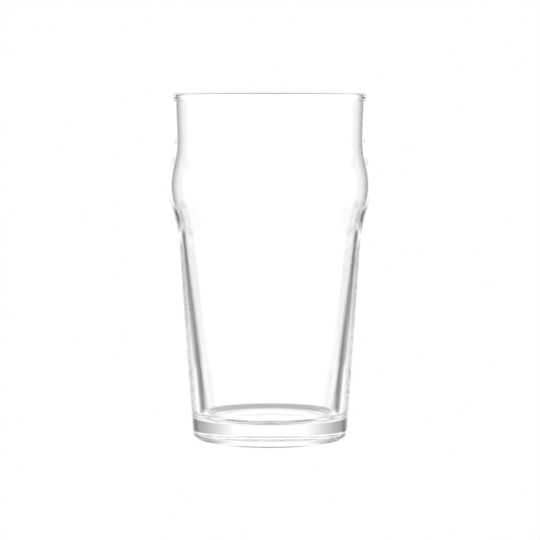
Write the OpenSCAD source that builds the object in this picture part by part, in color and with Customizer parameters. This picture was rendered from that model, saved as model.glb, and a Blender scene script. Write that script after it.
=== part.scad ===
// Bulge-sided conical pint glass, pressed and blown in one piece of clear glass.
// Frame: origin at the centre of the foot on the table, +Z up, millimetres.

/* [Overall] */
// Height from the table to the top of the rim
glass_h = 150; // [136:1:190]
// Diameter of the foot where the wall meets the table, before the heel is rounded
foot_d = 66.9; // [60:0.1:76]
// Diameter across the bulge at its widest
bulge_d = 87.1; // [86:0.1:105]
// Outside diameter of the rim, across its bead
rim_d = 84; // [83:0.1:100]

/* [Outside] */
// Depth below the rim at which the straight body ends
shoulder_drop = 59.5; // [56:0.1:72]
// Diameter at the top of the straight body, before rounding
body_d = 78.8; // [68:0.1:79.4]
// Depth below the rim of the bulge's widest level
bulge_drop = 39.8; // [38:0.1:42]
// Depth below the rim of the neck above the bulge
neck_drop = 23.5; // [18:0.1:24.5]
// Diameter of the neck, before rounding
neck_d = 81.4; // [79:0.1:82]
// Rounding between the body and the bulge
shoulder_r = 56; // [20:1:64]
// Rounding of the bulge
bulge_r = 34; // [24:1:36]
// Rounding between the bulge and the neck
neck_r = 36; // [16:1:44]
// Rounding of the heel
heel_r = 3.5; // [1.5:0.1:4.5]

/* [Rim] */
// Height of the bead at the rim
bead_h = 3.2; // [2.4:0.1:5]
// Distance by which the bead stands out from the wall
bead_out = 0.6; // [0.4:0.05:0.8]
// Rounding of the bead's outer edge
bead_r = 1; // [0.4:0.05:1.1]
// Rounding of the rim's inner edge
lip_r = 0.75; // [0.3:0.05:0.8]
// Rounding under the bead
bead_under_r = 5; // [2:0.5:12]

/* [Walls] */
// Wall thickness just under the bead
wall_rim = 1.45; // [1.3:0.05:1.8]
// Wall thickness at the neck
wall_neck = 1.4; // [1.2:0.05:1.8]
// Wall thickness at the bulge's widest level
wall_bulge = 1.6; // [1.4:0.05:2]
// Wall thickness at the top of the straight body
wall_body = 2; // [1.8:0.05:2.6]
// Height from which the wall thickens faster towards the base
thicken_z = 33; // [26:1:50]
// Wall thickness at that height
wall_thicken = 5; // [3.5:0.1:5.6]
// Wall thickness at the floor, before the inside corner is rounded
wall_foot = 6.7; // [5.8:0.1:8]
// Thickness of the solid base, from the table to the inside floor
base_t = 9.2; // [6:0.1:14]

/* [Inside roundings] */
// Height by which the inside shoulder sits above the outside one
shoulder_lift = 1.8; // [0:0.1:2.4]
// Rounding of the inside shoulder
shoulder_in_r = 39; // [20:1:48]
// Rounding of the bulge inside
bulge_in_r = 30; // [22:1:31]
// Rounding of the neck inside
neck_in_r = 27; // [12:1:36]
// Rounding where the wall starts to thicken
thicken_r = 100; // [20:5:150]
// Rounding between the wall and the floor
floor_r = 5; // [1:0.5:9]

/* [Underside] */
// Height of the hollow under the base at its centre
punt_h = 0.6; // [0.3:0.1:2]
// Inner diameter of the flat ring on which the glass stands
ring_d = 55; // [40:0.5:55]
// Rounding of the ring's inner edge
ring_r = 6; // [1:0.5:8]

/* [Hidden] */
facets = 180;
// A rounding uses at most this share of the room it has
clear_share = 0.97;
body_slope = (body_d - foot_d) / 2 / (glass_h - shoulder_drop);
rim_wall_r = rim_d / 2 - bead_out;

low_out = [body_d / 2, glass_h - shoulder_drop];
neck_out = [neck_d / 2, glass_h - neck_drop];
low_in = low_out + [-wall_body, shoulder_lift];
neck_in = neck_out - [wall_neck, 0];
bulge_z = glass_h - bulge_drop;

// Largest bulge radius that keeps the point p clear of the bulge's circle
function clear_r(p, wide_r) =
  clear_share * (pow(wide_r - p[0], 2) + pow(bulge_z - p[1], 2)) / 2 / (wide_r - p[0]);

// Rounding of a bulge that swells to wide_r between the corners a and b
function swell_r(a, b, wide_r, r) = min(r, clear_r(a, wide_r), clear_r(b, wide_r));

// Corner whose rounding is the circle (c, r) touched by the lines from a, below, and b, above
function tangent_corner(a, b, c, r) =
  let (
    ta = atan2(a[1] - c[1], a[0] - c[0]) + acos(r / norm(a - c)),
    tb = atan2(b[1] - c[1], b[0] - c[0]) - acos(r / norm(b - c)),
    mid = (ta + tb) / 2
  )
  c + r / cos((tb - ta) / 2) * [cos(mid), sin(mid)];

wide_out = bulge_d / 2;
wide_in = bulge_d / 2 - wall_bulge;
swell_out = swell_r(low_out, neck_out, wide_out, bulge_r);
swell_in = swell_r(low_in, neck_in, wide_in, min(bulge_in_r, swell_out - wall_bulge));
bulge_out = tangent_corner(low_out, neck_out, [wide_out - swell_out, bulge_z], swell_out);
bulge_in = tangent_corner(low_in, neck_in, [wide_in - swell_in, bulge_z], swell_in);

// Half section, counter-clockwise from the axis: [radius, height, rounding]
section = [
  [0, punt_h, 0],
  [ring_d / 2, 0, ring_r],
  [foot_d / 2, 0, heel_r],
  [low_out[0], low_out[1], shoulder_r],
  [bulge_out[0], bulge_out[1], swell_out],
  [neck_out[0], neck_out[1], neck_r],
  [rim_wall_r, glass_h - bead_h, bead_under_r],
  [rim_d / 2, glass_h, bead_r],
  [rim_wall_r - wall_rim, glass_h, lip_r],
  [neck_in[0], neck_in[1], neck_in_r],
  [bulge_in[0], bulge_in[1], swell_in],
  [low_in[0], low_in[1], shoulder_in_r],
  [foot_d / 2 + body_slope * thicken_z - wall_thicken, thicken_z, thicken_r],
  [foot_d / 2 + body_slope * base_t - wall_foot, base_t, floor_r],
  [0, base_t, 0],
];
rounded = [for (i = [1:len(section) - 2]) i];

function at(i) = [section[i][0], section[i][1]];
function unit(v) = v / norm(v);
function cross2(a, b) = a[0] * b[1] - a[1] * b[0];
function to_last(i) = unit(at(i - 1) - at(i));
function to_next(i) = unit(at(i + 1) - at(i));
function half_turn(i) = acos(to_last(i) * to_next(i)) / 2;
function wish(i) =
  i == 0 || i == len(section) - 1 ? 0 : section[i][2] / tan(half_turn(i));
// The bulge keeps its rounding, so that it stays as wide as it is set
function firm(i) = at(i) == bulge_out || at(i) == bulge_in;
// Share of its rounding that corner i has room for on its line to corner j
function line_share(i, j) =
  let (line = clear_share * norm(at(j) - at(i)))
  firm(i) ? 1 : min(1, firm(j) ? (line - wish(j)) / wish(i) : line / (wish(i) + wish(j)));
function radius(i) = section[i][2] * min(line_share(i, i - 1), line_share(i, i + 1));
function run(i) = radius(i) / tan(half_turn(i));
function start(i) = at(i) + run(i) * to_last(i);
function finish(i) = at(i) + run(i) * to_next(i);
function centre(i) =
  at(i) + radius(i) / sin(half_turn(i)) * unit(to_last(i) + to_next(i));
function stands_out(i) = cross2(to_next(i), to_last(i)) > 0;

// Each arc is this much over size and runs on a little way, so it crosses the straight
// lines beside it cleanly instead of only touching them
bite = 0.0005;
skin = 0.02;
function run_on(i) = 2 * sqrt(2 * radius(i) * bite);

// Sliver between the chord and the arc of one rounded corner
module sliver(i) {
  r = radius(i);
  a = start(i) + run_on(i) * to_last(i);
  b = finish(i) + run_on(i) * to_next(i);
  from_a = unit(start(i) - centre(i));
  from_b = unit(finish(i) - centre(i));
  intersection() {
    translate(centre(i)) circle(r = r + bite, $fn = 4 * facets);
    polygon([a - skin * from_a, a + r * from_a, b + r * from_b, b - skin * from_b]);
  }
}

module half_section() {
  difference() {
    union() {
      polygon(concat(
        [at(0)],
        [for (i = rounded) each [start(i), finish(i)]],
        [at(len(section) - 1)]
      ));
      for (i = rounded) if (stands_out(i)) sliver(i);
    }
    for (i = rounded) if (!stands_out(i)) sliver(i);
  }
}

module glass() {
  color([0.86, 0.9, 0.9, 0.35]) rotate_extrude($fn = facets) half_section();
}

glass();
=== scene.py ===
import bmesh
import bpy
import math
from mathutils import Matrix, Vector
from mathutils.bvhtree import BVHTree


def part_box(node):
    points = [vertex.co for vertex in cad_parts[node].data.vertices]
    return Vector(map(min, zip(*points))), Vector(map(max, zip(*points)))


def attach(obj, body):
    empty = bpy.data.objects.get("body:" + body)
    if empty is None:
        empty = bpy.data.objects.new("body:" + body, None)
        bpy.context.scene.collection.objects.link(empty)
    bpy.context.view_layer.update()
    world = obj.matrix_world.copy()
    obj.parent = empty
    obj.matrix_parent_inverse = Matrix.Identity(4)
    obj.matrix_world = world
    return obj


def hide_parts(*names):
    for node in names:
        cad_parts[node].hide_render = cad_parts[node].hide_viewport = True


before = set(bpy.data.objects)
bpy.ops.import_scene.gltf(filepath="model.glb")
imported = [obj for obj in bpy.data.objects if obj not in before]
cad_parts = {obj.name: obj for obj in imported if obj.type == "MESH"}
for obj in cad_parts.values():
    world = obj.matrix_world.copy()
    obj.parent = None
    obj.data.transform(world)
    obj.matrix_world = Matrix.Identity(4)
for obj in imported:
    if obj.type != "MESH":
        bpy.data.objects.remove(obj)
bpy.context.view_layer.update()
print("frame loaded")

mm = 0.001
degree = math.pi / 180
seamWidth = 2e-6  # metres: points closer together than this become one


class Wire:  # one socket of a node tree, so that sums can be written as sums
    def __init__(self, bench, socket):
        self.bench = bench
        self.socket = socket

    def sum(self, operation, *others):  # any Math node
        values = dict(enumerate((self,) + others))
        return self.bench.put("ShaderNodeMath", {"operation": operation}, values)

    def __add__(self, other): return self.sum("ADD", other)
    def __radd__(self, other): return self.sum("ADD", other)
    def __mul__(self, other): return self.sum("MULTIPLY", other)
    def __rmul__(self, other): return self.sum("MULTIPLY", other)
    def __sub__(self, other): return self.sum("SUBTRACT", other)
    def __rsub__(self, other): return (self * -1).sum("ADD", other)
    def __truediv__(self, other): return self.sum("DIVIDE", other)
    def __rtruediv__(self, other): return self.sum("POWER", -1.0) * other

    def other(self, name):  # another output of the same node
        return Wire(self.bench, self.socket.node.outputs[name])


class Bench:  # where the nodes of one tree are put down
    def __init__(self, tree):
        self.tree = tree

    def put(self, kind, settings={}, values={}, output=0):
        node = self.tree.nodes.new(kind)
        for name, value in settings.items():
            if name == "stops":
                self.setStops(node.color_ramp, value)
            else:
                setattr(node, name, value)
        for name, value in values.items():
            if isinstance(value, Wire):
                self.tree.links.new(value.socket, node.inputs[name])
            else:
                node.inputs[name].default_value = value
        return Wire(self, node.outputs[output] if node.outputs else None)

    def setStops(self, ramp, stops):
        while len(ramp.elements) > 1:
            ramp.elements.remove(ramp.elements[-1])
        for index, (place, level) in enumerate(stops):
            stop = ramp.elements.new(place) if index else ramp.elements[0]
            stop.position = place
            stop.color = (level, level, level, 1)

    def fade(self, value, start, end):  # 0 before start, 1 after end, smooth between
        settings = {"interpolation_type": "SMOOTHSTEP"}
        values = {"Value": value, "From Min": start, "From Max": end}
        return self.put("ShaderNodeMapRange", settings, values)


# The glass, in millimetres, as it stands on its foot
glassSizes = {
    "height": 150,
    "footWidth": 66.9,
    "bodyWidth": 78.8,          # where the taper meets the swell
    "shoulderDrop": 59.5,       # how far below the mouth that is
    "bulgeWidth": 87.1,
    "bulgeDrop": 39.8,
    "neckWidth": 81.4,
    "neckDrop": 23.5,
    "rimWidth": 84,
    "beadHeight": 3.2,
    "beadOut": 0.6,             # how far the bead stands out of the band
    "wallRim": 1.45,
    "wallNeck": 1.4,
    "wallBulge": 1.6,
    "wallBody": 2,
    "wallThicken": 5,           # where the wall starts to swell towards the base
    "thickenHeight": 33,
    "wallFoot": 6.7,
    "baseThickness": 9.2,
    "shoulderLift": 1.8,        # the inside bends this much higher than the outside
    "hollowHeight": 0.6,
    "ringWidth": 55,            # where the hollow meets the ground
}
glassRounding = {
    "ring": 6, "heel": 3.5, "shoulder": 56, "bulge": 34, "neck": 36,
    "underBead": 5, "bead": 1, "lip": 0.75,
    "neckInside": 27, "bulgeInside": 30, "shoulderInside": 39,
    "thicken": 100, "floor": 5,
}
glassMesh = {
    "stepsRound": 216,
    "arcStep": 1.6,             # degrees between two points of a rounding
    "straightStep": 2,          # millimetres between two points of a straight run
    "waviness": 0.012,          # millimetres, the drift of a blown wall
    "waveLength": 30,
    "waveFull": 30,             # how far from the axis the drift has its full size
    "seed": 7,
}


def tangentCorner(low, high, centre, radius):
    # the corner whose two sides both touch a circle
    def bearing(point, side):
        dx, dz = point[0] - centre[0], point[1] - centre[1]
        return math.atan2(dz, dx) + side * math.acos(radius / math.hypot(dx, dz))
    first, last = bearing(low, 1), bearing(high, -1)
    reach = radius / math.cos((last - first) / 2)
    middle = (first + last) / 2
    return centre[0] + reach * math.cos(middle), centre[1] + reach * math.sin(middle)


def sectionCorners(size, rounding):
    height = size["height"]
    low = size["bodyWidth"] / 2, height - size["shoulderDrop"]
    neck = size["neckWidth"] / 2, height - size["neckDrop"]
    lowInside = low[0] - size["wallBody"], low[1] + size["shoulderLift"]
    neckInside = neck[0] - size["wallNeck"], neck[1]
    widest = size["bulgeWidth"] / 2
    level = height - size["bulgeDrop"]
    outerArc = widest - rounding["bulge"], level
    innerArc = widest - size["wallBulge"] - rounding["bulgeInside"], level
    bulge = tangentCorner(low, neck, outerArc, rounding["bulge"])
    bulgeInside = tangentCorner(lowInside, neckInside, innerArc, rounding["bulgeInside"])
    lean = (size["bodyWidth"] - size["footWidth"]) / 2 / low[1]
    foot, rim = size["footWidth"] / 2, size["rimWidth"] / 2
    band = rim - size["beadOut"]
    knee = foot + lean * size["thickenHeight"] - size["wallThicken"]
    floorEdge = foot + lean * size["baseThickness"] - size["wallFoot"]
    return [
        (0, size["hollowHeight"], 0),
        (size["ringWidth"] / 2, 0, rounding["ring"]),
        (foot, 0, rounding["heel"]),
        (*low, rounding["shoulder"]),
        (*bulge, rounding["bulge"]),
        (*neck, rounding["neck"]),
        (band, height - size["beadHeight"], rounding["underBead"]),
        (rim, height, rounding["bead"]),
        (band - size["wallRim"], height, rounding["lip"]),
        (*neckInside, rounding["neckInside"]),
        (*bulgeInside, rounding["bulgeInside"]),
        (*lowInside, rounding["shoulderInside"]),
        (knee, size["thickenHeight"], rounding["thicken"]),
        (floorEdge, size["baseThickness"], rounding["floor"]),
        (0, size["baseThickness"], 0),
    ]


def cornerTurn(corners, index):  # degrees by which the section turns at a corner
    if index in (0, len(corners) - 1):
        return 0
    before, here, after = (Vector(corners[index + k][:2]) for k in (-1, 0, 1))
    return (here - before).angle(after - here) / degree


def makeSection(corners, mesh, wide, tall):
    # the half section as a chain of edges, which carries each corner's rounding
    places = [(r * wide, 0, z * tall) for r, z, _ in corners]
    chain = [(k, k + 1) for k in range(len(places) - 1)]
    section = bpy.data.meshes.new("halfSection")
    section.from_pydata(places, chain, [])
    rounding = section.attributes.new("rounding", "FLOAT", "POINT")
    arcPoints = section.attributes.new("arcPoints", "INT", "POINT")
    for k, corner in enumerate(corners):
        rounding.data[k].value = corner[2] * wide
        arcPoints.data[k].value = max(2, round(cornerTurn(corners, k) / mesh["arcStep"]))
    return section


def buildLathe(material, waveFull):
    tree = bpy.data.node_groups.new("latheGlass", "GeometryNodeTree")
    bench = Bench(tree)
    tree.interface.new_socket("Geometry", in_out="INPUT", socket_type="NodeSocketGeometry")
    for name, kind in (("Steps Round", "Int"), ("Straight Step", "Float"),
                       ("Waviness", "Float"), ("Wave Length", "Float"), ("Seed", "Float")):
        tree.interface.new_socket(name, in_out="INPUT", socket_type="NodeSocket" + kind)
    tree.interface.new_socket("Geometry", in_out="OUTPUT", socket_type="NodeSocketGeometry")
    given = bench.put("NodeGroupInput")
    stepsRound = given.other("Steps Round")
    index = bench.put("GeometryNodeInputIndex")
    position = bench.put("GeometryNodeInputPosition")

    def attribute(name, kind):
        return bench.put("GeometryNodeInputNamedAttribute", {"data_type": kind}, {"Name": name})

    def sample(curve, value, place):
        settings = {"data_type": "FLOAT_VECTOR", "domain": "POINT", "clamp": True}
        values = {"Geometry": curve, "Value": value, "Index": place}
        return bench.put("GeometryNodeSampleIndex", settings, values)

    chain = bench.put("GeometryNodeMeshToCurve", {}, {"Mesh": given.other("Geometry")})
    rounded = bench.put("GeometryNodeFilletCurve", {"mode": "POLY"}, {
        "Curve": chain, "Count": attribute("arcPoints", "INT"),
        "Radius": attribute("rounding", "FLOAT")})
    gap = bench.put("ShaderNodeVectorMath", {"operation": "DISTANCE"}, {
        0: position, 1: sample(rounded, position, index + 1)}, "Value")
    cuts = (gap / given.other("Straight Step")).sum("FLOOR")
    outline = bench.put("GeometryNodeSubdivideCurve", {}, {"Curve": rounded, "Cuts": cuts})
    rows = bench.put("GeometryNodeAttributeDomainSize", {"component": "CURVE"},
                     {"Geometry": outline}, "Point Count")

    sheet = bench.put("GeometryNodeMeshGrid", {}, {
        "Vertices X": stepsRound + 1, "Vertices Y": rows})
    column = ((index + 0.5) / rows).sum("FLOOR")
    sectionPoint = sample(outline, position, index - column * rows)
    radius = bench.put("ShaderNodeSeparateXYZ", {}, {0: sectionPoint})
    angle = column * (2 * math.pi) / stepsRound
    across, along = angle.sum("COSINE"), angle.sum("SINE")
    turned = bench.put("ShaderNodeCombineXYZ", {}, {
        "X": radius * across, "Y": radius * along, "Z": radius.other("Z")})
    drift = bench.put("ShaderNodeTexNoise", {"noise_dimensions": "4D"}, {
        "Vector": turned, "W": given.other("Seed"), "Detail": 0.0, "Roughness": 0.5,
        "Scale": 1 / given.other("Wave Length")})
    swell = (drift - 0.5) * given.other("Waviness") * 2
    outward = bench.put("ShaderNodeCombineXYZ", {}, {"X": swell * across, "Y": swell * along})
    faded = bench.put("ShaderNodeVectorMath", {"operation": "SCALE"}, {
        0: outward, "Scale": bench.fade(radius, 0, waveFull)})
    shaped = bench.put("GeometryNodeSetPosition", {}, {
        "Geometry": sheet, "Position": turned, "Offset": faded})
    closed = bench.put("GeometryNodeMergeByDistance", {}, {
        "Geometry": shaped, "Distance": seamWidth})
    smooth = bench.put("GeometryNodeSetShadeSmooth", {}, {"Geometry": closed})
    real = bench.put("GeometryNodeRealizeInstances", {}, {"Geometry": smooth})
    finished = bench.put("GeometryNodeSetMaterial", {}, {"Geometry": real, "Material": material})
    bench.put("NodeGroupOutput", {}, {"Geometry": finished})
    return tree


def makeGlass(size, rounding, mesh, material):
    low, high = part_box("glass")
    wide = (high[0] - low[0]) / size["bulgeWidth"]
    tall = (high[2] - low[2]) / size["height"]
    corners = sectionCorners(size, rounding)
    section = bpy.data.objects.new("section", makeSection(corners, mesh, wide, tall))
    bpy.context.scene.collection.objects.link(section)
    tree = buildLathe(material, mesh["waveFull"] * mm)
    lathe = section.modifiers.new("lathe", "NODES")
    lathe.node_group = tree
    wanted = {
        "Steps Round": mesh["stepsRound"], "Straight Step": mesh["straightStep"] * mm,
        "Waviness": mesh["waviness"] * mm, "Wave Length": mesh["waveLength"] * mm,
        "Seed": float(mesh["seed"]),
    }
    for item in tree.interface.items_tree:
        if item.in_out == "INPUT" and item.name in wanted:
            lathe[item.identifier] = wanted[item.name]
    evaluated = section.evaluated_get(bpy.context.evaluated_depsgraph_get())
    turned = bpy.data.meshes.new_from_object(evaluated)
    section.modifiers.remove(lathe)
    bpy.data.objects.remove(section)
    shell = bmesh.new()
    shell.from_mesh(turned)
    bmesh.ops.remove_doubles(shell, verts=shell.verts, dist=seamWidth)
    bmesh.ops.recalc_face_normals(shell, faces=shell.faces)
    openEdges = sum(not edge.is_manifold for edge in shell.edges)
    volume = shell.calc_volume() / mm ** 3
    shell.to_mesh(turned)
    shell.free()
    turned.name = "blownGlass"
    turned.materials.clear()
    turned.materials.append(material)
    turned.polygons.foreach_set("material_index", [0] * len(turned.polygons))
    piece = bpy.data.objects.new("blownGlass", turned)
    bpy.context.scene.collection.objects.link(piece)
    print(f"glass turned: {len(turned.polygons)} faces, {openEdges} open edges, "
          f"{volume:.0f} cubic mm")
    return piece


def compareWithCad(piece, node):  # the furthest that any point lies from the CAD surface
    solid = bmesh.new()
    solid.from_mesh(node.data)
    skin = BVHTree.FromBMesh(solid)
    furthest = max(skin.find_nearest(v.co)[3] for v in piece.data.vertices)
    solid.free()
    print(f"furthest from the CAD surface: {furthest / mm:.3f} mm")


# How the glass takes light: clear, with a ground ring under it and faint wear
clearGlass = {
    "tint": (1, 1, 1, 1),
    "refraction": 1.51,
    "ringFade": (0.064, 0.16),  # millimetres up, from wholly ground to wholly clear
    "ringRoughness": 0.24,
    "grainRoughness": 0.32,     # added where the stipple stands highest
    "scuffRoughness": 0.05,
    "scuffScale": 900,
    "scuffFade": (1, 3),        # millimetres from the widest level, where the wear dies out
    "scuffPeaks": (0.66, 0.72),  # the part of the noise that shows as wear
    "rippleScale": 60,          # ripples per metre left by the mould
    "rippleDepth": 0.0006,      # millimetres
    "stippleScale": 1600,
    "stippleDepth": 0.02,
}


def makeClearGlass(look, widest):
    material = bpy.data.materials.new("clearGlass")
    material.use_nodes = True
    material.node_tree.nodes.clear()
    bench = Bench(material.node_tree)
    place = bench.put("ShaderNodeTexCoord", {}, {}, "Object")
    height = bench.put("ShaderNodeSeparateXYZ", {}, {0: place}, "Z") / mm

    def noise(scale, detail):
        return bench.put("ShaderNodeTexNoise", {}, {
            "Vector": place, "Scale": scale, "Detail": detail})

    onRing = 1 - bench.fade(height, *look["ringFade"])
    grain = noise(look["stippleScale"], detail=2)
    rubbed = 1 - bench.fade((height - widest).sum("ABSOLUTE"), *look["scuffFade"])
    scuffs = bench.fade(noise(look["scuffScale"], detail=3), *look["scuffPeaks"]) * rubbed
    roughness = (onRing * (look["ringRoughness"] + grain * look["grainRoughness"])
                 + scuffs * look["scuffRoughness"])
    relief = (noise(look["rippleScale"], detail=1) * look["rippleDepth"]
              + grain * onRing * look["stippleDepth"])
    normal = bench.put("ShaderNodeBump", {}, {
        "Height": relief, "Strength": 1.0, "Distance": mm}, "Normal")
    shader = bench.put("ShaderNodeBsdfPrincipled", {}, {
        "Base Color": look["tint"], "IOR": look["refraction"],
        "Transmission Weight": 1.0, "Roughness": roughness, "Normal": normal})
    bench.put("ShaderNodeOutputMaterial", {}, {"Surface": shader})
    print("clear glass mixed")
    return material


widestLevel = glassSizes["height"] - glassSizes["bulgeDrop"]
glassPaint = makeClearGlass(clearGlass, widestLevel)
glass = makeGlass(glassSizes, glassRounding, glassMesh, glassPaint)
compareWithCad(glass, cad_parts["glass"])
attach(glass, "root")
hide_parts("glass")

# The light: a bright room with darker strips that draw the edges of the glass. In a pattern,
# the first number of a pair is an angle in degrees away from straight behind the glass and the
# second is a level. From straight down to straight up come the well, the floor panels, the
# strips or the screen, plain white, the overhead pattern and plain white again. The screen
# stands in for the strips where light has crossed exactly two surfaces and bounced off none,
# as in the solid base. What the camera sees directly is white.
roomLight = {
    "strength": 1.08,
    "strips": [(0, 1), (22, 1), (28, 0.3), (33, 0.1), (44, 0.1), (50, 0.85), (104, 0.88),
               (114, 0.75), (120, 0.75), (128, 0.9), (152, 0.9), (160, 0.78), (172, 0.78),
               (178, 0.9)],
    "screen": [(0, 1), (10, 1), (18, 0.94), (32, 0.6), (46, 0.35), (62, 0.15), (76, 0.15),
               (82, 0.85), (98, 0.85), (105, 0.5), (116, 0.5), (125, 0.92), (180, 0.92)],
    "floorPanels": [(0, 1), (24, 1), (29, 0.3), (36, 0.3), (41, 1), (55, 1), (62, 0.3),
                    (80, 0.3), (86, 1), (180, 1)],
    "well": [(0, 0.35), (20, 0.4), (30, 1), (60, 1), (70, 0.3), (110, 0.3), (120, 1),
             (150, 1), (160, 0.3), (180, 0.3)],
    "overhead": [(0, 0.25), (15, 0.25), (25, 1), (180, 1)],
    "spread": (-15, -11, 0.3),  # lower down the strips stand this much wider apart
    "screenCrossings": 2,
    "wellTop": (-36, -26),      # heights, in degrees, where one pattern fades to the next
    "panelTop": (-20.5, -18),
    "stripTop": (14, 20),
    "overheadStart": (22, 26),
    "overheadEnd": (40, 46),
}


def ring(bench, pattern, angle):  # a level that changes with an angle
    halfTurn = 180
    stops = [(place / halfTurn, value) for place, value in pattern]
    level = bench.put("ShaderNodeValToRGB", {"stops": stops}, {0: angle / halfTurn})
    return bench.put("ShaderNodeSeparateColor", {}, {0: level})


def blend(share, first, last):
    return first + (last - first) * share


def lightRoom(light):
    world = bpy.data.worlds.new("room")
    bpy.context.scene.world = world
    world.use_nodes = True
    world.node_tree.nodes.clear()
    bench = Bench(world.node_tree)
    heading = bench.put("ShaderNodeTexCoord", {}, {}, "Generated")
    axes = bench.put("ShaderNodeSeparateXYZ", {}, {0: heading})
    around = axes.sum("ARCTAN2", axes.other("Y")).sum("ABSOLUTE") / degree
    rise = axes.other("Z").sum("ARCSINE") / degree
    low, high, wider = light["spread"]
    spread = 1 + wider - wider * bench.fade(rise, low, high)
    strips = ring(bench, light["strips"], around / spread)
    screen = ring(bench, light["screen"], around)
    panels = ring(bench, light["floorPanels"], around)
    well = ring(bench, light["well"], around)
    overhead = ring(bench, light["overhead"], around)
    path = bench.put("ShaderNodeLightPath", {}, {}, "Is Camera Ray")
    crossings = path.other("Transmission Depth")
    astray = (crossings - light["screenCrossings"]).sum("ABSOLUTE") + path.other("Glossy Depth")
    walls = blend(astray.sum("MINIMUM", 1), screen, strips)
    level = blend(bench.fade(rise, *light["wellTop"]), well, panels)
    level = blend(bench.fade(rise, *light["panelTop"]), level, walls)
    level = blend(bench.fade(rise, *light["stripTop"]), level, 1)
    level = blend(bench.fade(rise, *light["overheadStart"]), level, overhead)
    level = blend(bench.fade(rise, *light["overheadEnd"]), level, 1) * light["strength"]
    glow = bench.put("ShaderNodeBackground", {}, {
        "Color": blend(path, level, 1), "Strength": 1.0})
    bench.put("ShaderNodeOutputWorld", {}, {"Surface": glow})
    print("room lit")


lightRoom(roomLight)

# The pale floor, as white as the background
floorSheet = {"width": 80, "level": 1.0}


def makeFloor(sheet):
    half = sheet["width"] / 2
    places = [(-half, -half, 0), (half, -half, 0), (half, half, 0), (-half, half, 0)]
    mesh = bpy.data.meshes.new("floor")
    mesh.from_pydata(places, [], [(0, 1, 2, 3)])
    floor = bpy.data.objects.new("floor", mesh)
    bpy.context.scene.collection.objects.link(floor)
    paint = bpy.data.materials.new("paleFloor")
    paint.use_nodes = True
    paint.node_tree.nodes.clear()
    bench = Bench(paint.node_tree)
    glow = bench.put("ShaderNodeEmission", {}, {
        "Color": (1, 1, 1, 1), "Strength": sheet["level"]})
    bench.put("ShaderNodeOutputMaterial", {}, {"Surface": glow})
    mesh.materials.append(paint)
    floor.visible_transmission = False  # what the glass bends comes from the room alone
    floor.visible_glossy = False
    print("floor laid")


makeFloor(floorSheet)

# The camera, in metres: a long lens a little above the middle of the glass
cameraPlace = {
    "distance": 1.209456,
    "height": 0.153977,
    "aimHeight": 0.073589,
    "lens": 186.69,             # millimetres, as is the sensor
    "sensor": 36,
    "shift": 0.0002,
    "nearest": 0.01,
}


def makeCamera(place):
    data = bpy.data.cameras.new("camera")
    data.sensor_width = place["sensor"]
    data.lens = place["lens"]
    data.shift_x = place["shift"]
    data.clip_start = place["nearest"]
    camera = bpy.data.objects.new("camera", data)
    bpy.context.scene.collection.objects.link(camera)
    camera.location = (0, -place["distance"], place["height"])
    down = math.atan2(place["height"] - place["aimHeight"], place["distance"])
    camera.rotation_euler = (math.pi / 2 - down, 0, 0)
    bpy.context.scene.camera = camera


makeCamera(cameraPlace)
scene = bpy.context.scene
bounces = 32  # enough for light to find its way out of the thick base
scene.cycles.max_bounces = bounces
scene.cycles.transmission_bounces = bounces
scene.cycles.glossy_bounces = bounces
scene.view_settings.view_transform = "Standard"
print("camera placed")
